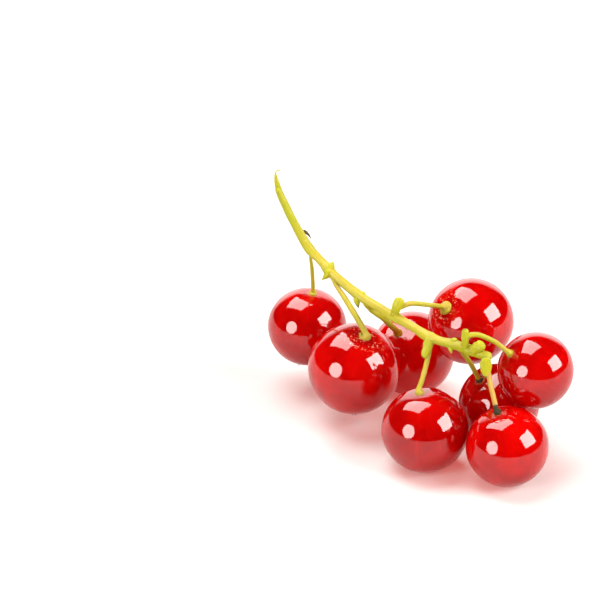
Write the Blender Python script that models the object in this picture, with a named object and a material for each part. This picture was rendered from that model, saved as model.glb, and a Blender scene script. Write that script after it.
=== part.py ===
"""A sprig of redcurrants lying on a flat surface, as picked.

A slender stem arches over the surface. Eight stalks leave it at its nodes, each with a berry, and
four of the berries stand on the surface and carry the rest. Every berry has the dried remnant of
its flower at the end away from its stalk, and small scales and buds sit at the stem's nodes.

The sizes below are in millimetres and MM turns them into metres. They are laid out from the point
of the surface under berry 5. The finished sprig is then moved, so that the origin is at the bottom
centre of its bounding box.
"""
import math
from collections import namedtuple

import bmesh
import bpy
from mathutils import Matrix, Vector

MM = 0.001
GAP = 0.3  # left between pieces that touch in the real sprig

STEM_RADIUS = 0.56
TUBE_BEVEL = 2  # a curve bevel resolution that gives eight sides
STEPS_PER_POINT = 2  # rings of a tube for each point of its route

STALK_DISC = 1.75  # a stalk's radius at its berry, as a share of its radius
STALK_DISC_LENGTH = 0.35
STALK_STEPS = 3

BERRY_SEGMENTS = 20
BERRY_RINGS = 14
BERRY_SQUASH = 0.975  # length along the stalk's axis, as a share of the width
TOP_DIMPLE = 0.05  # depth at the stalk, as a share of the berry's radius
TOP_DIMPLE_ANGLE = 0.30  # radians from the axis at which most of the dimple's depth is gone
HANGING_WELL = 0.06  # depth at the flower remnant of a berry that hangs free
STANDING_WELL = 0.17  # depth on a berry that stands on its pressed remnant
WELL_ANGLE = 0.26

REMNANT_SIDES = 9
REMNANT_NECK = 0.45
REMNANT_MOUTH = 0.72
REMNANT_LENGTH = 1.1  # on a berry that hangs free
REMNANT_PRESSED_LENGTH = 0.3  # under a berry that stands on the surface
SCALE_SEGMENTS = 10
SCALE_RINGS = 6

# The stem, from its torn upper end to its tip. Swell is the radius as a share of STEM_RADIUS:
# it is under 1 where the torn end thins out to a strip of skin, and over 1 at a node.
StemPoint = namedtuple("StemPoint", "x y z swell")
STEM_ROUTE = [
    StemPoint(-18.5, 20.5, 31.9, 0.22),
    StemPoint(-19.1, 20.5, 31.7, 0.26),
    StemPoint(-19.2, 20.4, 31.0, 0.35),
    StemPoint(-18.7, 20.2, 29.4, 0.78),
    StemPoint(-17.5, 19.9, 26.7, 0.95),
    StemPoint(-16.2, 19.5, 24.1, 1.00),
    StemPoint(-14.7, 18.9, 21.6, 1.15),
    StemPoint(-13.5, 18.0, 20.6, 1.00),
    StemPoint(-12.3, 16.8, 19.7, 1.08),
    StemPoint(-10.9, 15.5, 18.8, 1.02),
    StemPoint(-8.2, 13.5, 17.3, 1.08),
    StemPoint(-5.9, 11.5, 16.7, 1.00),
    StemPoint(-3.9, 9.2, 16.4, 1.08),
    StemPoint(-1.8, 6.6, 16.3, 0.97),
    StemPoint(-0.1, 4.2, 16.2, 1.10),
    StemPoint(1.5, 2.7, 16.2, 0.97),
    StemPoint(3.7, 1.2, 16.3, 1.05),
    StemPoint(5.7, 0.0, 16.0, 1.00),
    StemPoint(7.7, -1.2, 15.8, 0.85),
]

# A berry's centre, its radius, and the direction from its centre to its stalk. The height z is
# None where the berry stands on the surface.
Berry = namedtuple("Berry", "x y z radius stalk_side")
BERRIES = {
    1: Berry(-14.9, 22.9, 8.5, 5.30, (0.14, -0.02, 0.99)),
    2: Berry(-9.1, 12.6, 7.5, 5.85, (0.23, -0.23, 0.95)),
    3: Berry(-1.0, 20.9, None, 5.65, (-0.39, -0.48, 0.79)),
    4: Berry(6.2, 15.1, 13.0, 5.50, (-0.66, -0.47, 0.58)),
    5: Berry(0.0, 0.0, None, 5.50, (-0.18, -0.10, 0.98)),
    6: Berry(9.5, 7.1, None, 5.25, (-0.53, -0.23, 0.81)),
    7: Berry(13.4, 1.5, 12.7, 4.72, (-0.74, -0.23, 0.64)),
    8: Berry(9.9, -4.0, None, 5.05, (-0.31, 0.02, 0.95)),
}

# A stalk leaves the stem at a station, counted in points of STEM_ROUTE, and passes through the
# points of its route on the way to the berry of the same number.
Stalk = namedtuple("Stalk", "station radius route")
STALKS = {
    1: Stalk(6.2, 0.30, [(-14.5, 19.8, 19.9), (-14.3, 21.0, 17.6)]),
    2: Stalk(8.3, 0.34, [(-11.3, 15.3, 18.2), (-10.2, 13.8, 17.0), (-8.9, 12.2, 15.4)]),
    3: Stalk(10.7, 0.33, [(-6.1, 13.5, 14.6), (-4.9, 15.4, 12.7)]),
    4: Stalk(12.4, 0.30, [(-2.7, 8.8, 18.0), (-1.7, 9.5, 18.1), (-0.1, 10.6, 17.5)]),
    5: Stalk(14.3, 0.33, [(0.4, 3.6, 14.6), (0.0, 2.6, 13.6), (-0.5, 1.2, 12.5)]),
    6: Stalk(16.1, 0.31, [(4.4, 2.0, 14.9), (5.1, 3.1, 13.4), (5.8, 4.4, 11.7)]),
    7: Stalk(16.7, 0.29, [(5.2, 0.2, 17.9), (6.0, 0.2, 18.4), (7.2, 0.3, 17.9), (8.7, 0.4, 17.0)]),
    8: Stalk(17.9, 0.31, [(7.4, -1.0, 14.1), (7.6, -2.2, 13.1), (7.8, -3.3, 11.8)]),
}

# A scale or bud on the stem. Side is where it sits around the stem, and tip is the way it points.
Scale = namedtuple("Scale", "station side tip length width thickness")
SCALES = {
    "bract_1": Scale(5.3, (0.8, 0.5, 0.1), (0.3, -0.1, -0.9), 1.2, 0.6, 0.30),
    "bract_2_upper": Scale(7.9, (0.6, 0.1, 0.8), (0.8, 0.0, 0.4), 1.0, 0.9, 0.30),
    "bract_2_lower": Scale(8.1, (-0.2, -0.5, -0.9), (-0.8, -0.1, -0.6), 1.1, 0.8, 0.30),
    "bract_3": Scale(10.0, (0.1, 0.1, 1.0), (0.7, -0.5, 0.3), 1.0, 0.8, 0.30),
    "bud_3": Scale(9.9, (-0.1, -0.4, -0.9), (0.2, -0.2, -0.9), 1.0, 0.7, 0.50),
    "bract_4": Scale(12.0, (-0.2, -0.2, 0.9), (0.2, -0.1, 0.9), 1.4, 0.9, 0.35),
    "bract_5": Scale(14.3, (-0.3, -0.8, -0.4), (-0.4, -0.1, -0.9), 1.5, 0.9, 0.35),
    "bract_6_upper": Scale(15.8, (0.0, 0.1, 1.0), (0.7, -0.6, 0.3), 1.0, 0.8, 0.30),
    "bract_6_lower": Scale(15.6, (-0.1, -0.5, -0.8), (0.3, -0.2, -0.9), 0.9, 0.7, 0.30),
    "bract_7": Scale(16.5, (-0.3, -0.5, 0.8), (0.0, 0.0, 1.0), 1.6, 1.0, 0.35),
    "bud_7": Scale(17.3, (0.0, -0.5, 0.8), (0.3, -0.2, 0.9), 1.3, 1.4, 1.20),
    "bract_8": Scale(17.7, (0.0, -0.9, -0.2), (0.0, -0.2, -1.0), 1.9, 1.4, 0.30),
}


def material(name, colour, roughness):
    """A Principled BSDF with one colour."""
    made = bpy.data.materials.new(name)
    made.use_nodes = True
    shader = made.node_tree.nodes["Principled BSDF"]
    shader.inputs["Base Color"].default_value = (*colour, 1.0)
    shader.inputs["Roughness"].default_value = roughness
    shader.inputs["Metallic"].default_value = 0.0
    return made


def add_object(name, data, surface, collection, parent):
    """A named object with one material, in the sprig's collection."""
    made = bpy.data.objects.new(name, data)
    data.materials.append(surface)
    collection.objects.link(made)
    made.parent = parent
    return made


def through(points, steps):
    """A smooth curve through the points, as a list with steps entries for each of them."""
    first = points[0] * 2 - points[1]
    last = points[-1] * 2 - points[-2]
    padded = [first, *points, last]
    samples = []
    for index in range(len(points) - 1):
        a, b, c, d = padded[index : index + 4]
        for step in range(steps):
            t = step / steps
            line = b * 2 + (c - a) * t
            bend = (a * 2 - b * 5 + c * 4 - d) * t**2
            twist = (b * 3 - a - c * 3 + d) * t**3
            samples.append((line + bend + twist) / 2)
    samples.append(points[-1])
    return samples


def stem_at(station):
    """The stem's centre, its radius and its direction towards the tip, at a station."""
    index = min(int(station), len(STEM_ROUTE) - 2)
    share = station - index
    here, there = STEM_ROUTE[index], STEM_ROUTE[index + 1]
    start, end = Vector(here[:3]), Vector(there[:3])
    radius = STEM_RADIUS * (here.swell * (1 - share) + there.swell * share)
    return start.lerp(end, share), radius, (end - start).normalized()


def tube(name, points, radii, surface, collection, parent):
    """A round rod along the points, with its own radius at each of them."""
    curve = bpy.data.curves.new(name, "CURVE")
    curve.dimensions = "3D"
    curve.bevel_depth = MM
    curve.bevel_resolution = TUBE_BEVEL
    curve.use_fill_caps = True
    spline = curve.splines.new("POLY")
    spline.points.add(len(points) - 1)
    for target, point, radius in zip(spline.points, points, radii):
        target.co = (*(point * MM), 1.0)
        target.radius = radius
    spline.use_smooth = True
    return add_object(name, curve, surface, collection, parent)


def build_stem(surface, collection, parent):
    """The main stem, thicker at its nodes and thin at its torn end."""
    points = through([Vector(point[:3]) for point in STEM_ROUTE], STEPS_PER_POINT)
    swells = through([Vector((point.swell, 0, 0)) for point in STEM_ROUTE], STEPS_PER_POINT)
    radii = [STEM_RADIUS * swell.x for swell in swells]
    return tube("stem", points, radii, surface, collection, parent)


def stalk_start(stalk):
    """Where a stalk begins, a gap away from the stem's surface."""
    centre, radius, along = stem_at(stalk.station)
    away = (Vector(stalk.route[0]) - centre).normalized()
    slant = along.dot(away)
    straight = math.sqrt(1 - slant**2)
    reach = (radius + GAP + stalk.radius * abs(slant)) / straight
    return centre + away * reach


def berry_top(berry, centre):
    """The point of a berry's skin in the dimple at its stalk, and the way out of it."""
    out = Vector(berry.stalk_side).normalized()
    return centre + out * berry.radius * BERRY_SQUASH * (1 - TOP_DIMPLE), out


def build_stalk(number, stalk, centre, surface, collection, parent):
    """A stalk from the stem to its berry, with the small disc at its end."""
    top, out = berry_top(BERRIES[number], centre)
    end = top + out * GAP
    disc = end + out * STALK_DISC_LENGTH
    route = [stalk_start(stalk), *[Vector(point) for point in stalk.route], disc]
    points = through(route, STALK_STEPS) + [end]
    radii = [stalk.radius] * (len(points) - 2) + [stalk.radius * STALK_DISC] * 2
    return tube(f"pedicel_{number}", points, radii, surface, collection, parent)


def berry_centre(berry, mesh):
    """The centre of a berry whose mesh is already turned: on the surface, or at its own height."""
    lowest = min(vertex.co.z for vertex in mesh.vertices) / MM
    height = -lowest if berry.z is None else berry.z
    return Vector((berry.x, berry.y, height))


def well_depth(berry):
    """How deep a berry is hollowed at its flower remnant, as a share of its radius."""
    return STANDING_WELL if berry.z is None else HANGING_WELL


def berry_mesh(number, berry):
    """A round berry, dimpled at its stalk and at its flower remnant, turned to its stalk's side."""
    radius = berry.radius * MM
    shape = bmesh.new()
    bmesh.ops.create_uvsphere(shape, u_segments=BERRY_SEGMENTS, v_segments=BERRY_RINGS, radius=radius)
    for vertex in shape.verts:
        from_top = vertex.co.angle(Vector((0, 0, 1)))
        from_bottom = math.pi - from_top
        dimple = TOP_DIMPLE * math.exp(-((from_top / TOP_DIMPLE_ANGLE) ** 2))
        well = well_depth(berry) * math.exp(-((from_bottom / WELL_ANGLE) ** 2))
        vertex.co *= 1 - dimple - well
        vertex.co.z *= BERRY_SQUASH
    turn = Vector((0, 0, 1)).rotation_difference(Vector(berry.stalk_side))
    bmesh.ops.rotate(shape, verts=shape.verts, cent=(0, 0, 0), matrix=turn.to_matrix())
    mesh = bpy.data.meshes.new(f"berry_{number}")
    shape.to_mesh(mesh)
    shape.free()
    mesh.shade_smooth()
    return mesh


def build_berry(number, berry, surface, collection, parent):
    """A berry in its place. Returns its centre."""
    mesh = berry_mesh(number, berry)
    centre = berry_centre(berry, mesh)
    placed = add_object(f"berry_{number}", mesh, surface, collection, parent)
    placed.location = centre * MM
    return centre


def build_remnant(number, berry, centre, surface, collection, parent):
    """The dried flower remnant: a flared tuft in the well at the berry's lower end."""
    out = -Vector(berry.stalk_side).normalized()
    length = REMNANT_PRESSED_LENGTH if berry.z is None else REMNANT_LENGTH
    skin = berry.radius * BERRY_SQUASH * (1 - well_depth(berry))
    middle = centre + out * (skin + GAP + length / 2)
    shape = bmesh.new()
    bmesh.ops.create_cone(
        shape,
        cap_ends=True,
        segments=REMNANT_SIDES,
        radius1=REMNANT_NECK * MM,
        radius2=REMNANT_MOUTH * MM,
        depth=length * MM,
    )
    mesh = bpy.data.meshes.new(f"calyx_{number}")
    shape.to_mesh(mesh)
    shape.free()
    placed = add_object(f"calyx_{number}", mesh, surface, collection, parent)
    placed.rotation_mode = "QUATERNION"
    placed.rotation_quaternion = Vector((0, 0, 1)).rotation_difference(out)
    placed.location = middle * MM


def build_scale(name, scale, surface, collection, parent):
    """A scale or bud: a flattened egg with its lower end at the stem."""
    centre, radius, along = stem_at(scale.station)
    side = Vector(scale.side)
    side = (side - along * side.dot(along)).normalized()
    long_axis = Vector(scale.tip).normalized()
    wide_axis = long_axis.cross(side).normalized()
    thin_axis = wide_axis.cross(long_axis)
    foot = centre + side * (radius + GAP + scale.thickness / 2)
    middle = foot + long_axis * scale.length / 2
    shape = bmesh.new()
    bmesh.ops.create_uvsphere(shape, u_segments=SCALE_SEGMENTS, v_segments=SCALE_RINGS, radius=0.5)
    axes = Matrix((wide_axis * scale.width, thin_axis * scale.thickness, long_axis * scale.length))
    bmesh.ops.transform(shape, verts=shape.verts, matrix=(axes * MM).transposed().to_4x4())
    bmesh.ops.recalc_face_normals(shape, faces=shape.faces)
    mesh = bpy.data.meshes.new(name)
    shape.to_mesh(mesh)
    shape.free()
    mesh.shade_smooth()
    placed = add_object(name, mesh, surface, collection, parent)
    placed.location = middle * MM


def centre_on_origin(collection, parent):
    """Moves the sprig, so that its box stands on z = 0 with its middle at x = y = 0."""
    bpy.context.view_layer.update()
    graph = bpy.context.evaluated_depsgraph_get()
    corners = []
    for part in collection.objects:
        if part.type == "EMPTY":
            continue
        mesh = part.evaluated_get(graph).to_mesh()
        corners += [part.matrix_world @ vertex.co for vertex in mesh.vertices]
    low = Vector([min(corner[axis] for corner in corners) for axis in range(3)])
    high = Vector([max(corner[axis] for corner in corners) for axis in range(3)])
    parent.location = (-(low.x + high.x) / 2, -(low.y + high.y) / 2, -low.z)


def build():
    for existing in list(bpy.data.objects):
        bpy.data.objects.remove(existing, do_unlink=True)
    collection = bpy.data.collections.new("redcurrant_sprig")
    bpy.context.scene.collection.children.link(collection)
    sprig = bpy.data.objects.new("sprig", None)
    collection.objects.link(sprig)

    stem_skin = material("stem_skin", (0.70, 0.62, 0.09), 0.5)
    stalk_skin = material("stalk_skin", (0.68, 0.45, 0.12), 0.5)
    scale_skin = material("scale_skin", (0.52, 0.50, 0.03), 0.6)
    berry_skin = material("berry_skin", (0.62, 0.01, 0.01), 0.12)
    dried_flower = material("dried_flower", (0.10, 0.05, 0.02), 0.85)

    build_stem(stem_skin, collection, sprig)
    for number, berry in BERRIES.items():
        centre = build_berry(number, berry, berry_skin, collection, sprig)
        build_stalk(number, STALKS[number], centre, stalk_skin, collection, sprig)
        build_remnant(number, berry, centre, dried_flower, collection, sprig)
    for name, scale in SCALES.items():
        build_scale(name, scale, scale_skin, collection, sprig)
    centre_on_origin(collection, sprig)


build()
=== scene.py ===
"""The looks of a sprig of redcurrants lying on a pale studio table.

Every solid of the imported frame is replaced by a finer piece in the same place: the stem, the
stalks, the berries, their dried flowers, and the scales and buds at the stem's nodes. The tables
below give the sprig's layout in millimetres, measured from the point of the table under the
frame's berry 5, and at() turns such a place into metres in the frame.
"""

import math
import random
from collections import namedtuple

import bmesh
import bpy
from mathutils import Matrix, Vector, noise


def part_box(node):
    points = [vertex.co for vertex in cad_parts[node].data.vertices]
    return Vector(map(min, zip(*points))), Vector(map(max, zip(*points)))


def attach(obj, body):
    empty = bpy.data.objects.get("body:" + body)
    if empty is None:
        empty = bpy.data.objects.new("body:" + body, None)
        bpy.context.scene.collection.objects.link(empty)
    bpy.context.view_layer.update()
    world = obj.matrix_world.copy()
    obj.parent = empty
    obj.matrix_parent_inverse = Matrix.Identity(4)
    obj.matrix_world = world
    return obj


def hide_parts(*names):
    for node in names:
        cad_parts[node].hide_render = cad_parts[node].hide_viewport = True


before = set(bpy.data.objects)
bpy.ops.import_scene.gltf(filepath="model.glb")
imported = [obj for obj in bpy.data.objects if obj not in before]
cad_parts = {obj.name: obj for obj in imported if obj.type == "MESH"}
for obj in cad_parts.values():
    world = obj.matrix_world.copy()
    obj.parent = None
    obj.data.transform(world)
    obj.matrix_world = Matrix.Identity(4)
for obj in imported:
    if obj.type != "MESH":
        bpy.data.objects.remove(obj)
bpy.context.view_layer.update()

MM = 0.001
UP = Vector((0, 0, 1))

# ------------------------------------------------------------------ the sprig's layout

STEM_RADIUS = 0.56
STEM_LEAST_RADIUS = 0.43
STEM_UNDERSIDE_PAINTED_SHADE = 0.45  # painted shade: how much more amber its underside is made, for the shade that falls there
STEM_ROUTE = [  # x, y, z, and the radius as a share of STEM_RADIUS
    (-18.5, 20.5, 31.9, 0.22),
    (-19.1, 20.5, 31.7, 0.26),
    (-19.2, 20.4, 31.0, 0.35),
    (-18.7, 20.2, 29.4, 0.78),
    (-17.5, 19.9, 26.7, 0.95),
    (-16.2, 19.5, 24.1, 1.00),
    (-14.7, 18.9, 21.6, 1.15),
    (-13.5, 18.0, 20.6, 1.00),
    (-12.3, 16.8, 19.7, 1.08),
    (-10.9, 15.5, 18.8, 1.02),
    (-8.2, 13.5, 17.3, 1.08),
    (-5.9, 11.5, 16.7, 1.00),
    (-3.9, 9.2, 16.4, 1.08),
    (-1.8, 6.6, 16.3, 0.97),
    (-0.1, 4.2, 16.2, 1.10),
    (1.5, 2.7, 16.2, 0.97),
    (3.7, 1.2, 16.3, 1.05),
    (5.7, 0.0, 16.0, 1.00),
    (7.7, -1.2, 15.8, 0.85),
]

# A station is a place along the stem, counted in points of its route. At these the stem is
# swollen, by this share of its radius, and each swelling reaches NODE_REACH stations both ways.
NODE_SWELL = {
    6.1: 0.08,
    8.0: 0.28,
    9.9: 0.10,
    12.1: 0.16,
    14.3: 0.18,
    15.7: 0.12,
    16.7: 0.20,
    17.7: 0.16,
}
NODE_REACH = 0.28

# The stem is torn at its top. Its full section starts at TORN_STATION, and the strip of skin that
# is left above it overlaps the stem by STRIP_OVERLAP stations. The strip stands STRIP_ASIDE beside
# the route, and its half width and half thickness grow from its tip to its root.
TORN_STATION = 2.9
STRIP_OVERLAP = 1.2
STRIP_ASIDE = 0.22
STRIP_HALF_WIDTH = (0.07, 0.42)
STRIP_WIDENS = (1.125, 3.25)  # between these stations
STRIP_HALF_THICKNESS = (0.05, 0.20)
STRIP_THICKENS = (1.125, 3.5)  # between these stations

# x, y, z of the centre (z is None where it stands on the table), radius, way to the stalk, way to
# the dried flower (None is straight away from the stalk), wrinkling round the stalk, and
# brightness of the skin
# tone, the brightness of the skin, is partly each berry's own and partly painted light: it is set berry by
# berry for the light that reaches it through its neighbours and from below.
Berry = namedtuple("Berry", "x y z radius stalk flower wrinkle tone")
BERRIES = {
    1: Berry(-14.9, 22.9, 8.5, 5.30, (0.14, -0.02, 0.99), None, 0.25, 1.00),
    2: Berry(-8.9, 12.6, 7.4, 6.03, (0.23, -0.23, 0.95), (0.02, -0.10, -0.99), 1.00, 1.03),
    3: Berry(-1.0, 20.9, None, 5.65, (-0.39, -0.48, 0.79), None, 0.25, 1.15),
    4: Berry(6.2, 15.1, 13.0, 5.64, (-0.66, -0.47, 0.58), None, 0.85, 1.12),
    5: Berry(-0.25, 0.0, None, 5.50, (-0.15, 0.06, 0.98), None, 0.20, 0.90),
    6: Berry(9.5, 7.1, None, 5.25, (-0.53, -0.23, 0.81), None, 0.25, 0.76),
    7: Berry(13.4, 1.5, 12.7, 4.84, (-0.74, -0.23, 0.64), None, 0.25, 1.02),
    8: Berry(9.75, -4.0, None, 5.18, (-0.28, 0.02, 0.95), None, 0.25, 1.06),
}
BERRY_SQUASH = 0.975  # the radius towards stalk and flower, as a share of the radius across

# The dish at the stalk, the well at the dried flower and the skin's unevenness: depths are shares
# of the berry's radius, and angles, in radians, are measured at its centre
TOP_DISH = 0.06
TOP_DISH_ANGLE = 0.36
HANGING_WELL = 0.06
STANDING_WELL = 0.17
WELL_ANGLE = 0.26
LUMP_DEPTH = 0.0025
CREASE_DEPTH = 0.010
CREASE_INNER_ANGLE = 0.14
CREASE_OUTER_ANGLE = 0.34

SEPALS = 5
STAMENS = 6

# The station where it leaves the stem, its radius there, midway and at the berry, how amber it is,
# the share of its length that is withered brown, and the points of its route
Stalk = namedtuple("Stalk", "station first middle last tone withered route")
STALKS = {
    1: Stalk(
        6.2, 0.20, 0.27, 0.50, 0.15, 0.00,
        [(-14.5, 19.8, 19.9), (-14.3, 21.0, 17.6)],
    ),
    2: Stalk(
        8.3, 0.30, 0.38, 0.72, 0.40, 0.00,
        [(-11.3, 15.3, 18.2), (-10.2, 13.8, 17.0), (-8.9, 12.2, 15.4)],
    ),
    3: Stalk(
        10.3, 0.37, 0.40, 0.60, -0.10, 0.00,
        [(-6.7, 13.0, 15.6), (-5.1, 14.0, 13.9)],
    ),
    4: Stalk(
        12.0, 0.36, 0.30, 0.88, 0.25, 0.00,
        [(-3.8, 8.9, 17.6), (-3.0, 8.8, 18.1), (-1.7, 9.2, 18.3), (0.6, 10.2, 17.6)],
    ),
    5: Stalk(
        14.3, 0.33, 0.32, 0.60, 0.45, 0.00,
        [(0.3, 3.4, 15.1), (-0.1, 2.4, 13.3), (-0.6, 1.2, 11.9)],
    ),
    6: Stalk(
        16.1, 0.32, 0.30, 0.46, -0.05, 0.20,
        [(4.4, 2.0, 14.9), (5.1, 3.1, 13.4), (5.8, 4.4, 11.7)],
    ),
    7: Stalk(
        16.4, 0.34, 0.30, 0.46, 0.20, 0.00,
        [(4.5, 0.2, 17.4), (4.9, 0.1, 18.2), (6.2, 0.2, 18.2), (8.1, 0.4, 17.2)],
    ),
    8: Stalk(
        17.6, 0.31, 0.30, 0.44, 0.95, 0.27,
        [(7.2, -1.5, 14.6), (7.5, -2.3, 12.9), (7.9, -3.1, 11.4)],
    ),
}
STALK_FOOT_SWELL = 0.55  # how much thicker a stalk is where it leaves the stem, as a share
STALK_FOOT_REACH = 0.45
DISC_START = 0.95  # a stalk starts to widen to its disc this far before its end
DISC_FULL = 0.15  # and it is as wide as the disc this far before its end
UNMIRRORED_STALKS = (2, 3, 5)  # mirrored, they would cross their berries' highlights
TEETH = 6

# A scale or bud: its foot and tip, width and thickness, the side that its flat face looks to, how
# far it bows that way, how far along it is widest, its width at the foot as a share of that, how
# round its tip is (1 is a point, 2 is round), and how dry it is
Scale = namedtuple("Scale", "foot tip width thickness facing bow belly heel tip_form dry")
SCALES = {
    "bract_1": Scale(
        (-15.4, 19.5, 23.9), (-14.4, 19.8, 22.5), 0.42, 0.30, (0.8, -0.4, 0.3), 0.08, 0.3, 0.7, 1.2, 1.0
    ),
    "bract_2_upper": Scale(
        (-12.3, 16.6, 19.3), (-11.6, 16.8, 20.7), 1.35, 1.10, (0.5, -0.8, 0.2), 0.03, 0.30, 0.9, 1.4, 0.0
    ),
    "bract_2_lower": Scale(
        (-12.0, 16.4, 19.8), (-13.1, 16.1, 18.4), 1.30, 1.00, (0.3, -0.8, -0.4), 0.12, 0.25, 0.9, 1.1, 0.1
    ),
    "bract_3": Scale(
        (-8.5, 13.6, 17.4), (-7.5, 13.4, 17.8), 0.85, 0.55, (0.0, -0.5, 0.9), 0.08, 0.4, 1.0, 1.5, 0.1
    ),
    "bud_3": Scale(
        (-8.7, 13.2, 17.2), (-8.4, 12.9, 15.9), 0.80, 0.60, (0.0, -1.0, -0.3), 0.05, 0.3, 1.0, 1.2, 0.3
    ),
    "bract_4": Scale(
        (-4.2, 8.9, 16.7), (-3.1, 8.7, 19.3), 1.40, 0.55, (-0.3, -0.9, 0.1), 0.10, 0.80, 0.50, 2.0, 0.0
    ),
    "bract_5": Scale(
        (0.3, 3.1, 16.4), (-0.5, 2.5, 13.9), 1.20, 0.50, (-0.3, -0.9, 0.2), -0.05, 0.15, 1.0, 2.6, 0.0
    ),
    "bract_6_upper": Scale(
        (2.6, 1.9, 16.4), (3.6, 1.3, 17.0), 0.80, 0.60, (0, -0.5, 0.9), 0.10, 0.5, 0.8, 1.6, 0.0
    ),
    "bract_6_lower": Scale(
        (2.7, 1.6, 16.2), (2.9, 0.9, 15.2), 0.90, 0.50, (-0.2, -0.9, 0), 0.05, 0.15, 1.0, 1.0, 0.1
    ),
    "bract_7": Scale(
        (4.5, 0.4, 16.1), (4.4, 0.0, 19.2), 0.92, 0.75, (-0.1, -1.0, 0.0), 0.03, 0.70, 0.95, 2.6, 0.0
    ),
    "bud_7": Scale(
        (5.4, -0.3, 16.4), (6.7, -0.9, 17.6), 1.45, 1.10, (0.0, -0.9, 0.2), 0.04, 0.58, 0.9, 2.1, 0.0
    ),
    "bract_8": Scale(
        (6.9, -1.6, 16.0), (7.0, -2.1, 13.5), 1.50, 0.80, (0.0, -1.0, 0.1), -0.08, 0.45, 0.6, 1.6, 0.0
    ),
}

# ------------------------------------------------------------------ small helpers


def table_point():
    """The point of the table under the frame's berry 5, in metres."""
    low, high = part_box("berry_5")
    return Vector(((low[0] + high[0]) / 2, (low[1] + high[1]) / 2, 0.0))


TABLE_POINT = table_point()


def at(x, y, z):
    """A place of the layout, as a point of the frame in metres."""
    return TABLE_POINT + Vector((x, y, z)) * MM


def mix(first, last, share):
    """The number that lies this share of the way from first to last."""
    return first + (last - first) * share


def fade(value, start, end):
    """0 at start and 1 at end, smooth between them."""
    share = min(max((value - start) / (end - start), 0.0), 1.0)
    return share * share * (3 - 2 * share)


def through(points, steps):
    """A smooth curve through the points, with steps samples from each to the next."""
    padded = [points[0] * 2 - points[1], *points, points[-1] * 2 - points[-2]]
    samples = []
    for index in range(len(points) - 1):
        a, b, c, d = padded[index : index + 4]
        for step in range(steps):
            t = step / steps
            line = b * 2 + (c - a) * t
            bend = (a * 2 - b * 5 + c * 4 - d) * t**2
            twist = (b * 3 - a - c * 3 + d) * t**3
            samples.append((line + bend + twist) / 2)
    samples.append(points[-1])
    return samples


def stem_at(station):
    """The stem's centre and radius in millimetres at a station of its route."""
    index = min(int(station), len(STEM_ROUTE) - 2)
    share = station - index
    here, there = STEM_ROUTE[index], STEM_ROUTE[index + 1]
    centre = Vector(here[:3]).lerp(Vector(there[:3]), share)
    return centre, STEM_RADIUS * mix(here[3], there[3], share)


def finish_mesh(name, shape, skin, slot, *nodes):
    """Turns a shape in layout millimetres into a piece of the sprig that stands for CAD nodes."""
    bmesh.ops.recalc_face_normals(shape, faces=shape.faces)
    for vertex in shape.verts:
        vertex.co = at(*vertex.co)
    mesh = bpy.data.meshes.new(name)
    shape.to_mesh(mesh)
    shape.free()
    mesh.shade_smooth()
    mesh.materials.append(skin)
    piece = bpy.data.objects.new(name, mesh)
    bpy.context.scene.collection.objects.link(piece)
    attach(piece, "root")
    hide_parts(*nodes)
    return piece


def layers(shape):
    """The values that a rod's material reads: the grain's coordinates, the tone and dryness."""
    floats = shape.verts.layers.float
    vectors = shape.verts.layers.float_vector
    grain = vectors.get("grain") or vectors.new("grain")
    tone = floats.get("tone") or floats.new("tone")
    dry = floats.get("dry") or floats.new("dry")
    return grain, tone, dry


def sweep(shape, points, wide, thin, facing, sides, uneven=None, tone=0.5, dry=None):
    """Adds a closed rod with an oval section along the points.

    wide and thin are the section's two half widths at each point, thin along facing. uneven gives
    a share to add to the section at a share of the length and an angle. tone is one number and
    dry is a function of the share of the length.
    """
    grain, tone_layer, dry_layer = layers(shape)
    last = len(points) - 1
    thin_axis = Vector(facing)
    travelled = 0.0
    rings = []
    for index, point in enumerate(points):
        ahead = points[min(index + 1, last)]
        behind = points[max(index - 1, 0)]
        along = (ahead - behind).normalized()
        thin_axis = (thin_axis - along * thin_axis.dot(along)).normalized()
        wide_axis = along.cross(thin_axis)
        if index:
            travelled += (point - points[index - 1]).length
        share = index / last
        ring = []
        for side in range(sides):
            angle = 2 * math.pi * side / sides
            swell = 1 + (uneven(share, angle) if uneven else 0)
            across = wide_axis * (math.cos(angle) * wide[index] * swell)
            deep = thin_axis * (math.sin(angle) * thin[index] * swell)
            vertex = shape.verts.new(point + across + deep)
            vertex[grain] = Vector((math.cos(angle), math.sin(angle), travelled))
            vertex[tone_layer] = tone
            vertex[dry_layer] = dry(share) if dry else 0.0
            ring.append(vertex)
        rings.append(ring)
    for ring, following in zip(rings, rings[1:]):
        for side in range(sides):
            beside = (side + 1) % sides
            shape.faces.new((ring[side], ring[beside], following[beside], following[side]))
    shape.faces.new(rings[0])
    shape.faces.new(list(reversed(rings[-1])))


def rounded(radii, points, first, last):
    """The radii with a rounded end over the given lengths at the start and the end."""
    length = [0.0]
    for before, after in zip(points, points[1:]):
        length.append(length[-1] + (after - before).length)
    ends = []
    for radius, here in zip(radii, length):
        share = 1.0
        if first and here < first:
            share = math.sqrt(max(1 - (1 - here / first) ** 2, 0.01))
        if last and length[-1] - here < last:
            share = math.sqrt(max(1 - (1 - (length[-1] - here) / last) ** 2, 0.01))
        ends.append(radius * share)
    return ends


# ------------------------------------------------------------------ materials


# A Mix node's sockets for colours, which share their names with its sockets for numbers
MIX_SHARE = 0
MIX_FIRST = 6
MIX_SECOND = 7
MIX_RESULT = 2


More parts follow.
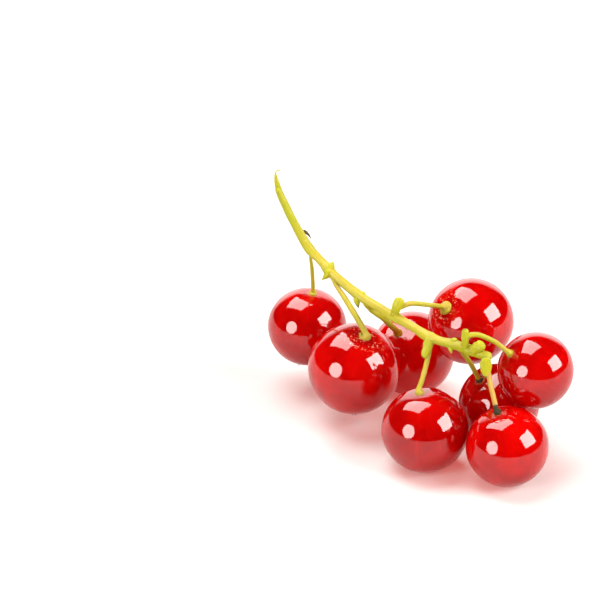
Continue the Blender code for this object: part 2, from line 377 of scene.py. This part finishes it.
class Nodes:
    """A material's node tree, with a short way to add and link nodes."""

    def __init__(self, name):
        self.material = bpy.data.materials.new(name)
        self.material.use_nodes = True
        self.tree = self.material.node_tree
        self.shader = self.tree.nodes["Principled BSDF"]

    def add(self, kind, settings=None, **inputs):
        """A node with its properties set, and its inputs set or linked by name."""
        node = self.tree.nodes.new(kind)
        for key, value in (settings or {}).items():
            setattr(node, key, value)
        for key, value in inputs.items():
            self.put(node.inputs[key.replace("_", " ")], value)
        return node

    def put(self, socket, value):
        """Links a socket to another one, or sets it to a number or a colour."""
        if isinstance(value, bpy.types.NodeSocket):
            self.tree.links.new(value, socket)
        else:
            socket.default_value = value

    def attribute(self, name):
        """The node that reads a value which the mesh stores at each of its points."""
        return self.add("ShaderNodeAttribute", {"attribute_name": name})

    def math(self, operation, first, second=0.0):
        """A sum or other operation on two numbers or sockets."""
        node = self.add("ShaderNodeMath", {"operation": operation})
        self.put(node.inputs[0], first)
        self.put(node.inputs[1], second)
        return node.outputs[0]

    def band(self, value, low, high, start=0.0, end=1.0):
        """Maps low..high to start..end smoothly, and holds the ends beyond them."""
        node = self.add("ShaderNodeMapRange", {"interpolation_type": "SMOOTHSTEP"})
        names = ("Value", "From Min", "From Max", "To Min", "To Max")
        for name, number in zip(names, (value, low, high, start, end)):
            self.put(node.inputs[name], number)
        return node.outputs[0]

    def noise(self, vector, scale, detail=3.0, roughness=0.5, stretch=(1, 1, 1)):
        """A noise pattern over the vector, drawn out along each axis whose stretch is below 1."""
        placed = self.add("ShaderNodeMapping", None, Vector=vector, Scale=stretch).outputs[0]
        node = self.add(
            "ShaderNodeTexNoise", None, Vector=placed, Scale=scale, Detail=detail, Roughness=roughness
        )
        return node.outputs[0]

    def blend(self, share, first, second):
        """A colour between two colours."""
        node = self.add("ShaderNodeMix", {"data_type": "RGBA"})
        self.put(node.inputs[MIX_SHARE], share)
        for socket, value in ((node.inputs[MIX_FIRST], first), (node.inputs[MIX_SECOND], second)):
            self.put(socket, (*value, 1.0) if isinstance(value, tuple) else value)
        return node.outputs[MIX_RESULT]

    def bump(self, height, strength, distance):
        """Roughens the shader's surface by a height pattern."""
        node = self.add("ShaderNodeBump", None, Height=height, Strength=strength, Distance=distance)
        self.put(self.shader.inputs["Normal"], node.outputs[0])

    def let_lamps_through(self, tint):
        """Lets lamps shine through the piece, coloured by tint at each wall that they cross."""
        path = self.add("ShaderNodeLightPath")
        clear = self.add("ShaderNodeBsdfTransparent", None, Color=(*tint, 1.0))
        both = self.add("ShaderNodeMixShader")
        self.put(both.inputs[0], path.outputs["Is Shadow Ray"])
        self.put(both.inputs[1], self.shader.outputs[0])
        self.put(both.inputs[2], clear.outputs[0])
        self.put(self.tree.nodes["Material Output"].inputs["Surface"], both.outputs[0])

    def set(self, **inputs):
        """Sets or links the shader's own inputs by name."""
        for key, value in inputs.items():
            self.put(self.shader.inputs[key.replace("_", " ")], value)


JUICE = (0.68, 0.27, 0.25)  # what one wall of a berry lets through of a lamp's light


def berry_skin(name, tone):
    """Thin glossy red skin over clear red flesh, with faint veins from stalk to flower."""
    nodes = Nodes(name)
    place = nodes.add("ShaderNodeTexCoord").outputs["Object"]
    meridian = nodes.attribute("meridian").outputs["Vector"]
    from_stalk = nodes.attribute("from_stalk").outputs["Fac"]
    from_flower = nodes.attribute("from_flower").outputs["Fac"]
    wrinkle = nodes.attribute("wrinkle").outputs["Fac"]

    cloud = nodes.band(nodes.noise(place, 260.0, 3.0), 0.35, 0.65)
    # tone scales the red: partly the berry's own shade, partly painted light for the light that reaches it.
    deep = (0.215 * tone, 0.0005, 0.0004)
    bright = (0.285 * tone, 0.0008, 0.0005)
    colour = nodes.blend(cloud, deep, bright)
    veins = nodes.band(nodes.noise(meridian, 5.5, 2.0, 0.5, (1, 1, 0.16)), 0.60, 0.72, 0.0, 0.30)
    colour = nodes.blend(veins, colour, (0.38 * tone, 0.004, 0.002))

    # Pale flecks where the skin is drawn up to the stalk: painted glints, for the light that its fine
    # wrinkles catch
    near = nodes.band(from_stalk, 0.25, 0.62, 1.0, 0.0)
    fine = nodes.noise(place, 3000.0, 3.0, 0.65)
    painted_glint_flecks = nodes.band(fine, 0.56, 0.66)
    painted_glint_flecks = nodes.math("MULTIPLY", painted_glint_flecks, nodes.math("MULTIPLY", near, nodes.math("POWER", wrinkle, 2.0)))
    colour = nodes.blend(painted_glint_flecks, colour, (0.55, 0.20, 0.12))
    collar = nodes.band(from_stalk, 0.08, 0.19, 0.55, 0.0)
    colour = nodes.blend(collar, colour, (0.40, 0.15, 0.06))
    scar = nodes.band(from_flower, 0.09, 0.20, 0.85, 0.0)
    colour = nodes.blend(scar, colour, (0.16, 0.035, 0.012))

    smooth = nodes.noise(place, 900.0, 2.0)
    rough = nodes.band(smooth, 0.3, 0.7, 0.03, 0.06)
    rough = nodes.math("ADD", rough, nodes.math("MULTIPLY", collar, 0.35))
    nodes.set(Base_Color=colour, Roughness=rough, IOR=1.49)
    nodes.set(Subsurface_Weight=1.0, Subsurface_Radius=(1.0, 0.06, 0.04), Subsurface_Scale=0.010)
    creases = nodes.math("MULTIPLY", nodes.noise(place, 1500.0, 2.0), nodes.math("MULTIPLY", near, wrinkle))
    pores = nodes.math("MULTIPLY", nodes.noise(place, 3500.0, 1.0), 0.03)
    nodes.bump(nodes.math("ADD", creases, pores), 0.5, 0.00012)
    nodes.let_lamps_through(JUICE)
    return nodes.material


def rod_skin(name, green, amber, dried, roughness=0.48):
    """Stem, stalk or scale skin: fibres along it, small pale warts, browner where it is dry."""
    nodes = Nodes(name)
    place = nodes.add("ShaderNodeTexCoord").outputs["Object"]
    grain = nodes.attribute("grain").outputs["Vector"]
    tone = nodes.attribute("tone").outputs["Fac"]
    dry = nodes.attribute("dry").outputs["Fac"]

    patches = nodes.noise(place, 420.0, 3.0)
    share = nodes.math("ADD", nodes.band(patches, 0.3, 0.7, -0.22, 0.22), tone)
    colour = nodes.blend(share, green, amber)
    fibres = nodes.noise(grain, 3.2, 3.0, 0.6, (1, 1, 0.22))
    darker = nodes.band(fibres, 0.52, 0.70, 0.0, 0.35)
    colour = nodes.blend(darker, colour, tuple(channel * 0.55 for channel in amber))
    warts = nodes.band(nodes.noise(place, 2600.0, 1.0), 0.66, 0.72, 0.0, 0.5)
    colour = nodes.blend(warts, colour, (0.36, 0.31, 0.08))
    withering = nodes.math("ADD", dry, nodes.band(nodes.noise(place, 1700.0, 3.0), 0.3, 0.7, -0.2, 0.2))
    withering = nodes.band(withering, 0.25, 0.65)
    colour = nodes.blend(withering, colour, dried)

    rough = nodes.band(fibres, 0.3, 0.7, roughness - 0.08, roughness + 0.12)
    rough = nodes.math("ADD", rough, nodes.math("MULTIPLY", withering, 0.35))
    nodes.set(Base_Color=colour, Roughness=rough, IOR=1.36)
    nodes.set(Subsurface_Weight=0.20, Subsurface_Radius=(1.0, 0.8, 0.2), Subsurface_Scale=0.0005)
    height = nodes.math("ADD", fibres, nodes.math("MULTIPLY", warts, 0.8))
    nodes.bump(height, 0.45, 0.00008)
    return nodes.material


def dried_skin():
    """The papery brown-black petals of the dried flower."""
    nodes = Nodes("dried_petals")
    place = nodes.add("ShaderNodeTexCoord").outputs["Object"]
    dry = nodes.attribute("dry").outputs["Fac"]
    coarse = nodes.noise(place, 1800.0, 4.0, 0.6)
    colour = nodes.blend(nodes.band(coarse, 0.35, 0.65), (0.030, 0.014, 0.007), (0.16, 0.075, 0.030))
    colour = nodes.blend(nodes.math("SUBTRACT", 1.0, dry), colour, (0.22, 0.15, 0.06))
    nodes.set(Base_Color=colour, Roughness=nodes.band(coarse, 0.3, 0.7, 0.65, 0.9))
    nodes.bump(coarse, 0.8, 0.0001)
    return nodes.material


STEM_SKIN = rod_skin(
    "stem_skin", green=(0.255, 0.250, 0.002), amber=(0.310, 0.240, 0.014), dried=(0.05, 0.038, 0.010)
)
STALK_SKIN = rod_skin(
    "stalk_skin", green=(0.265, 0.245, 0.004), amber=(0.34, 0.192, 0.034), dried=(0.022, 0.018, 0.005)
)
SCALE_SKIN = rod_skin(
    "scale_skin",
    green=(0.262, 0.262, 0.001),
    amber=(0.30, 0.258, 0.001),
    dried=(0.06, 0.040, 0.010),
    roughness=0.5,
)
PETALS = dried_skin()

# ------------------------------------------------------------------ berries


def berry_axes(berry):
    """The ways from a berry's centre to its stalk and to its dried flower."""
    stalk = Vector(berry.stalk).normalized()
    flower = Vector(berry.flower).normalized() if berry.flower else -stalk
    return stalk, flower


def well_depth(berry):
    """The depth of the well at the flower. It is deeper where the berry stands on that side."""
    return STANDING_WELL if berry.z is None else HANGING_WELL


def skin_point(berry, way):
    """The skin in that direction from the centre, as a vector in millimetres."""
    stalk, flower = berry_axes(berry)
    from_stalk = way.angle(stalk)
    from_flower = way.angle(flower)
    dish = TOP_DISH * math.exp(-((from_stalk / TOP_DISH_ANGLE) ** 3))
    well = well_depth(berry) * math.exp(-((from_flower / WELL_ANGLE) ** 2))
    lumps = LUMP_DEPTH * noise.noise(way * 1.7 + Vector((berry.x, berry.y, berry.radius)))
    inside = math.exp(-((from_stalk / CREASE_OUTER_ANGLE) ** 2))
    outside = 1 - math.exp(-((from_stalk / CREASE_INNER_ANGLE) ** 2))
    near = inside * outside
    creases = CREASE_DEPTH * berry.wrinkle * near * noise.noise(way * 11 + Vector((berry.radius, 3, 5)))
    flat = 1 - (1 - BERRY_SQUASH) * abs(way.dot(stalk))
    return way * berry.radius * (1 - dish - well + lumps + creases) * flat


def build_berry(number, berry):
    """A berry with its dish at the stalk and its well at the flower. Returns its centre."""
    stalk, flower = berry_axes(berry)
    shape = bmesh.new()
    bmesh.ops.create_uvsphere(shape, u_segments=96, v_segments=72, radius=1)
    turn = UP.rotation_difference(stalk).to_matrix()
    floats = shape.verts.layers.float
    from_stalk = floats.new("from_stalk")
    from_flower = floats.new("from_flower")
    wrinkle = floats.new("wrinkle")
    meridian = shape.verts.layers.float_vector.new("meridian")
    for vertex in shape.verts:
        raw = vertex.co.normalized()
        polar = raw.angle(UP)
        spin = Vector((raw.x, raw.y, 0))
        spin = spin.normalized() if spin.length > 1e-6 else Vector((1, 0, 0))
        way = turn @ raw
        vertex[from_stalk] = polar
        vertex[from_flower] = way.angle(flower)
        vertex[wrinkle] = berry.wrinkle
        vertex[meridian] = spin * 2 + Vector((0, 0, polar * 2 + number))
        vertex.co = skin_point(berry, way)
    lowest = min(vertex.co.z for vertex in shape.verts)
    centre = Vector((berry.x, berry.y, -lowest if berry.z is None else berry.z))
    bmesh.ops.translate(shape, verts=shape.verts, vec=centre)
    skin = berry_skin(f"berry_skin_{number}", berry.tone)
    finish_mesh(f"redcurrant_{number}", shape, skin, "berry", f"berry_{number}")
    return centre


# ------------------------------------------------------------------ dried flowers


def build_flower(number, berry, centre):
    """The dried flower: a short collar, withered sepals and a tuft of stamens."""
    out = berry_axes(berry)[1]
    draw = random.Random(100 + number)
    standing = berry.z is None
    foot = centre + skin_point(berry, out) - out * 0.10
    height = 0.38 if standing else 1.05
    spread = 0.62 if standing else 0.55
    side = out.orthogonal().normalized()
    other = out.cross(side)
    shape = bmesh.new()

    collar = [foot, foot + out * height * 0.25, foot + out * height * 0.45]
    collar_radii = [0.44, 0.40, 0.34]
    sweep(shape, collar, collar_radii, collar_radii, side, sides=20, dry=lambda share: 0.2 + 0.5 * share)
    for sepal in range(SEPALS):
        angle = 2 * math.pi * (sepal + draw.uniform(-0.2, 0.2)) / SEPALS
        away = side * math.cos(angle) + other * math.sin(angle)
        reach = spread * draw.uniform(0.85, 1.15)
        tip = height * draw.uniform(0.8, 1.0)
        route = [
            foot + away * 0.25,
            foot + away * reach * 0.72 + out * tip * 0.40,
            foot + away * reach + out * tip * 0.72,
            foot + away * reach * draw.uniform(0.55, 0.95) + out * tip,
        ]
        points = through(route, 4)
        last = len(points) - 1
        wide = [0.21 * math.sin(math.pi * mix(0.30, 0.98, index / last)) for index in range(last + 1)]
        thin = [0.05 + 0.02 * draw.random() for index in range(last + 1)]
        thin[-1] = 0.02
        sweep(shape, points, wide, thin, away, sides=10, dry=lambda share: 0.7 + 0.3 * share)
    for stamen in range(STAMENS):
        angle = draw.uniform(0, 2 * math.pi)
        away = side * math.cos(angle) + other * math.sin(angle)
        reach = draw.uniform(0.05, 0.32)
        tip = height * draw.uniform(0.7, 1.0)
        route = [foot, foot + away * reach * 0.5 + out * tip * 0.5, foot + away * reach + out * tip]
        points = through(route, 3)
        radii = [0.055] * (len(points) - 1) + [0.03]
        sweep(shape, points, radii, radii, side, sides=8, dry=lambda share: 1.0)
    finish_mesh(f"dried_flower_{number}", shape, PETALS, "dried_flower", f"calyx_{number}")


# ------------------------------------------------------------------ stem and stalks


def node_swell(station):
    """How much thicker the nodes make the stem at a station, as a share of its radius."""
    return sum(
        share * math.exp(-(((station - here) / NODE_REACH) ** 2)) for here, share in NODE_SWELL.items()
    )


def build_stem():
    """The main stem: ridged, swollen at its nodes, torn at the top with a strip of skin left."""
    steps = 8
    points = through([Vector(point[:3]) for point in STEM_ROUTE], steps)
    swells = through([Vector((point[3], 0, 0)) for point in STEM_ROUTE], steps)
    radii = []
    for index, swell in enumerate(swells):
        radii.append(STEM_RADIUS * swell.x * (1 + node_swell(index / steps)))
    first = int(TORN_STATION * steps)
    body = points[first:]
    body_radii = [max(radius, STEM_LEAST_RADIUS) for radius in radii[first:]]
    body_radii = rounded(body_radii, body, first=0.35, last=0.45)

    def ridges(share, angle):
        lengthwise = 0.030 * math.sin(5 * angle + 9 * share) + 0.018 * math.sin(3 * angle - 14 * share)
        lumps = 0.07 * noise.noise(Vector((math.cos(angle), math.sin(angle), share * 34)))
        return lengthwise + lumps

    shape = bmesh.new()
    sweep(shape, body, body_radii, body_radii, UP, sides=32, uneven=ridges)
    strip_count = int((TORN_STATION + STRIP_OVERLAP) * steps)
    strip = []
    wide = []
    thin = []
    for index, point in enumerate(points[:strip_count]):
        station = index / steps
        aside = fade(index, strip_count * 0.9, strip_count * 0.5)
        strip.append(point + Vector((STRIP_ASIDE * aside, 0, 0)))
        wide.append(mix(*STRIP_HALF_WIDTH, fade(station, *STRIP_WIDENS)))
        thin.append(mix(*STRIP_HALF_THICKNESS, fade(station, *STRIP_THICKENS)))
    wide = rounded(wide, strip, first=0.3, last=0)
    sweep(shape, strip, wide, thin, (0, -1, 0.2), sides=14)
    tone = shape.verts.layers.float["tone"]
    shape.normal_update()
    for vertex in shape.verts:
        # Painted shade: the faces that look down are made more amber, for the shade that falls on them.
        underside = fade(-vertex.normal.z, -0.1, 0.7)
        vertex[tone] = stem_tone(vertex.co) + STEM_UNDERSIDE_PAINTED_SHADE * underside
    piece = finish_mesh("main_stem", shape, STEM_SKIN, "stem", "stem")
    piece.visible_glossy = False  # mirrored, it would cross the berries' highlights


def stem_tone(place):
    """How amber the stem is: most along its middle, and green at its nodes and its two ends."""
    high = fade(place.z, 19.0, 26.0)
    right = fade(place.x, -2.0, 5.0)
    node = max(math.exp(-((place - stem_at(station)[0]).length ** 2) / 1.6) for station in NODE_SWELL)
    return 0.50 * (1 - high) * (1 - 0.6 * right) - 0.35 * node + 0.05


def build_stalk(number, stalk, berry, centre):
    """A stalk, from inside the stem to the berry's dish, where it widens to a small disc."""
    start, stem_radius = stem_at(stalk.station)
    out = Vector(berry.stalk).normalized()
    end = centre + skin_point(berry, out)
    route = [start, *[Vector(point) for point in stalk.route], end + out * 0.55, end - out * 0.10]
    points = through(route, 8)
    length = [0.0]
    for before, after in zip(points, points[1:]):
        length.append(length[-1] + (after - before).length)
    radii = []
    for here in length:
        share = here / length[-1]
        radius = mix(stalk.first, stalk.middle, fade(share, 0.1, 0.6))
        radius *= 1 + STALK_FOOT_SWELL * math.exp(-(((here - stem_radius) / STALK_FOOT_REACH) ** 2))
        radius = mix(radius, stalk.last, fade(length[-1] - here, DISC_START, DISC_FULL))
        radii.append(radius)

    def lumps(share, angle):
        bumps = noise.noise(Vector((math.cos(angle), math.sin(angle), share * 14 + number)))
        return 0.10 * bumps + 0.025 * math.sin(4 * angle + 7 * share)

    def dryness(share):
        if not stalk.withered:
            return 0.0
        return fade(share, 1 - stalk.withered * 1.3, 1 - stalk.withered * 0.7)

    shape = bmesh.new()
    sweep(shape, points, radii, radii, UP, sides=24, uneven=lumps, tone=stalk.tone, dry=dryness)
    if stalk.withered:
        add_teeth(shape, end, out, stalk.last, number)
    piece = finish_mesh(f"stalk_{number}", shape, STALK_SKIN, "pedicel", f"pedicel_{number}")
    piece.visible_glossy = number not in UNMIRRORED_STALKS


def add_teeth(shape, end, out, radius, seed):
    """Small dry teeth that stand round the end of a withered stalk."""
    draw = random.Random(seed)
    side = out.orthogonal().normalized()
    other = out.cross(side)
    for tooth in range(TEETH):
        angle = 2 * math.pi * (tooth + draw.uniform(-0.3, 0.3)) / TEETH
        away = side * math.cos(angle) + other * math.sin(angle)
        reach = radius * draw.uniform(1.2, 1.7)
        foot = end + away * radius * 0.6 + out * 0.35
        points = through([foot, end + away * reach * 0.85 + out * 0.22, end + away * reach + out * 0.05], 4)
        wide = [mix(0.15, 0.03, index / (len(points) - 1)) for index in range(len(points))]
        thin = [radius_here * 0.6 for radius_here in wide]
        sweep(shape, points, wide, thin, away, sides=8, dry=lambda share: 0.8)


def build_scale(name, scale):
    """A scale or bud: a bowed, uneven blade on the stem."""
    foot, tip = Vector(scale.foot), Vector(scale.tip)
    facing = Vector(scale.facing).normalized()
    length = (tip - foot).length
    middle = (foot + tip) / 2 + facing * scale.bow * length
    points = through([foot, middle, tip], 12)
    last = len(points) - 1
    wide = []
    thin = []
    for index in range(last + 1):
        share = index / last
        if share < scale.belly:
            blade = mix(scale.heel, 1.0, math.sin(math.pi / 2 * share / scale.belly))
        else:
            beyond = (share - scale.belly) / (1 - scale.belly)
            blade = max(1 - beyond**scale.tip_form, 0.0) ** (1 / scale.tip_form)
        wide.append(scale.width / 2 * max(blade, 0.05))
        thin.append(scale.thickness / 2 * max(blade, 0.08))

    def torn(share, angle):
        spot = Vector((math.cos(angle) * 1.5, math.sin(angle), share * 5 + len(name) + foot.x))
        return 0.14 * noise.noise(spot)

    def dryness(share):
        return scale.dry + 0.35 * fade(share, 0.7, 1.0)

    shape = bmesh.new()
    sweep(shape, points, wide, thin, facing, sides=20, uneven=torn, tone=0.35, dry=dryness)
    piece = finish_mesh(f"{name}_blade", shape, SCALE_SKIN, "bract", name)
    piece.visible_glossy = False  # like the stem


build_stem()
for number, berry in BERRIES.items():
    centre = build_berry(number, berry)
    build_stalk(number, STALKS[number], berry, centre)
    build_flower(number, berry, centre)
for name, scale in SCALES.items():
    build_scale(name, scale)

# ------------------------------------------------------------------ table, lights and camera

FLOOR_RADIUS = 0.8  # in metres, like the lamps' distance and sizes
LIGHT_DISTANCE = 1.0
LAMP_COLOUR = (1.0, 0.985, 0.955)
SPRIG_MIDDLE = at(0, 4, 8)
CAMERA_PLACE = at(-15.875, -276.512, 152.006)
CAMERA_TILT = 25  # how far it looks down, in degrees
CAMERA_LENS = 150.0
CAMERA_SENSOR = 36.0
STUDIO_DARK = (0.012, 0.010, 0.010, 1.0)
BACKDROP_WHITE = (2.6, 2.5, 2.45, 1.0)
SEEN_WHITE = (1.1, 1.1, 1.1, 1.0)
BACKDROP_TOP = (0.52, 0.44)  # it fades in between these heights of the way to it
BACKDROP_SIDES = (0.74, 0.88)  # and between these shares of that way that run back


def build_floor():
    """The round white card that the sprig lies on."""
    shape = bmesh.new()
    bmesh.ops.create_circle(shape, cap_ends=True, segments=96, radius=FLOOR_RADIUS)
    mesh = bpy.data.meshes.new("table_top")
    shape.to_mesh(mesh)
    shape.free()
    nodes = Nodes("white_card")
    place = nodes.add("ShaderNodeTexCoord").outputs["Object"]
    paper = nodes.noise(place, 900.0, 4.0)
    nodes.set(Base_Color=nodes.blend(paper, (0.428, 0.424, 0.420), (0.444, 0.440, 0.436)), Roughness=0.9)
    mesh.materials.append(nodes.material)
    floor = bpy.data.objects.new("table_top", mesh)
    bpy.context.scene.collection.objects.link(floor)


def softbox(name, direction, level, width, height, radiance, form="RECTANGLE"):
    """A flat lamp that faces the sprig. level is the way that its width runs."""
    away = Vector(direction).normalized()
    sideways = Vector(level)
    sideways = (sideways - away * sideways.dot(away)).normalized()
    upright = away.cross(sideways)
    light = bpy.data.lights.new(name, "AREA")
    light.shape = form
    light.size = width
    light.size_y = height
    area = width * height * (math.pi / 4 if form == "DISK" else 1)
    light.energy = radiance * math.pi * area
    light.color = LAMP_COLOUR
    lamp = bpy.data.objects.new(name, light)
    place = SPRIG_MIDDLE + away * LIGHT_DISTANCE
    turn = Matrix((sideways, upright, away)).transposed().to_4x4()
    lamp.matrix_world = Matrix.Translation(place) @ turn
    lamp.visible_camera = False
    bpy.context.scene.collection.objects.link(lamp)
    return lamp


def build_world():
    """A dark studio with a low white backdrop behind, which the camera sees as plain white."""
    world = bpy.data.worlds.new("studio")
    world.use_nodes = True
    tree = world.node_tree
    seen = tree.nodes.new("ShaderNodeLightPath")
    way = tree.nodes.new("ShaderNodeTexCoord")
    parts = tree.nodes.new("ShaderNodeSeparateXYZ")
    tree.links.new(way.outputs["Generated"], parts.inputs[0])
    shares = []
    for axis, start, end in (("Z", *BACKDROP_TOP), ("Y", *BACKDROP_SIDES)):
        edge = tree.nodes.new("ShaderNodeMapRange")
        tree.links.new(parts.outputs[axis], edge.inputs["Value"])
        edge.inputs["From Min"].default_value = start
        edge.inputs["From Max"].default_value = end
        shares.append(edge.outputs[0])
    backdrop = tree.nodes.new("ShaderNodeMath")
    backdrop.operation = "MULTIPLY"
    tree.links.new(shares[0], backdrop.inputs[0])
    tree.links.new(shares[1], backdrop.inputs[1])
    around = tree.nodes.new("ShaderNodeMix")
    around.data_type = "RGBA"
    tree.links.new(backdrop.outputs[0], around.inputs[MIX_SHARE])
    around.inputs[MIX_FIRST].default_value = STUDIO_DARK
    around.inputs[MIX_SECOND].default_value = BACKDROP_WHITE
    colour = tree.nodes.new("ShaderNodeMix")
    colour.data_type = "RGBA"
    tree.links.new(around.outputs[MIX_RESULT], colour.inputs[MIX_FIRST])
    colour.inputs[MIX_SECOND].default_value = SEEN_WHITE
    tree.links.new(seen.outputs["Is Camera Ray"], colour.inputs[MIX_SHARE])
    tree.links.new(colour.outputs[MIX_RESULT], tree.nodes["Background"].inputs["Color"])
    bpy.context.scene.world = world


def build_camera():
    """A long lens that looks down on the sprig from the front."""
    data = bpy.data.cameras.new("camera")
    data.lens = CAMERA_LENS
    data.sensor_width = CAMERA_SENSOR
    data.clip_start = 0.01
    camera = bpy.data.objects.new("camera", data)
    camera.location = CAMERA_PLACE
    camera.rotation_euler = (math.radians(90 - CAMERA_TILT), 0, 0)
    bpy.context.scene.collection.objects.link(camera)
    bpy.context.scene.camera = camera


build_floor()

# The way to the lamp, the way that its width runs, its width and height, and its radiance
softbox("key_square", (0.790, -0.310, 0.530), (0.447, 0.894, 0), 0.70, 0.57, 17.5)
softbox("fill_round", (-0.735, -0.610, 0.290), (0.677, -0.736, 0), 0.60, 0.60, 14.5, "DISK")
softbox("top_wide", (-0.300, 0.290, 0.908), (0.77, 0.64, 0.05), 0.74, 0.88, 10.0)
room = softbox("room_light", (0.10, -0.85, 0.50), (1, 0, 0), 1.60, 1.00, 1.25)
room.visible_glossy = False  # it stands for the light of the whole room, which has no shape
build_world()
build_camera()
bpy.context.scene.view_settings.view_transform = "Standard"
